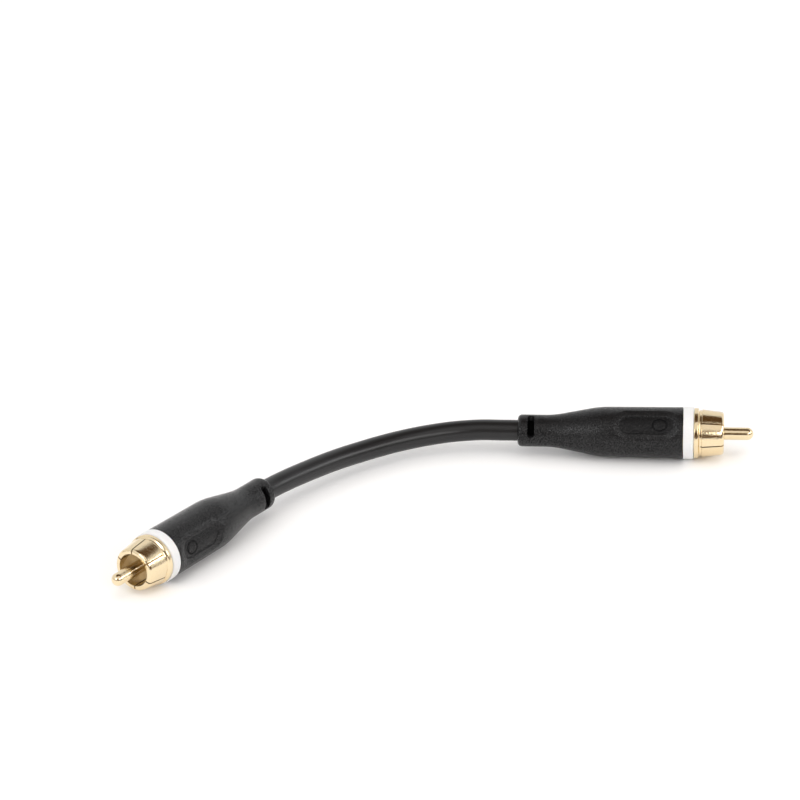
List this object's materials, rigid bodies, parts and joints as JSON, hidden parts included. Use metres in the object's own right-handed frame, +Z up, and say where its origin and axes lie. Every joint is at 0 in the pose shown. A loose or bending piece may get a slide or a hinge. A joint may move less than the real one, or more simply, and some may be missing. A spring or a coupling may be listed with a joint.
{
  "type": "rca audio cable",
  "caption": "Short coaxial audio patch cable with moulded phono plugs, split gold contact shells and pale colour bands, lying in a gentle bow.",
  "frame": {"origin": "on the surface the cable lies on, under the middle of the box round its two plugs", "axes": "+X from plug b to plug a, along the line between the two boots' mouths; +Y the way the lead bows; +Z up"},
  "size_m": [0.1761, 0.0439, 0.0132],
  "materials": {
    "boot": "black moulded PVC with a fine spark-eroded grain",
    "jacket": "smooth extruded black PVC, satin",
    "band": "white moulded plastic, satin",
    "gold_plate": "bright gold plate on turned brass",
    "plain_brass": "bare brass, crimped",
    "insulator": "natural white nylon",
    "inner_mould": "milky polyethylene",
    "dielectric": "white foamed polyethylene",
    "copper": "bare copper",
    "solder": "bright tin solder"
  },
  "bodies": {
    "root": {"centre_pin_a": "gold_plate", "insulator_a": "insulator", "contact_shell_a": "gold_plate", "colour_band_a": "band", "inner_mould_a": "inner_mould", "boot_a": "boot", "crimp_ferrule_a": "plain_brass", "solder_joint_a": "solder", "centre_pin_b": "gold_plate", "insulator_b": "insulator", "contact_shell_b": "gold_plate", "colour_band_b": "band", "inner_mould_b": "inner_mould", "boot_b": "boot", "crimp_ferrule_b": "plain_brass", "solder_joint_b": "solder", "cable_jacket": "jacket", "braid_shield": "copper", "dielectric": "dielectric", "centre_conductor": "copper"}
  },
  "joints": []
}
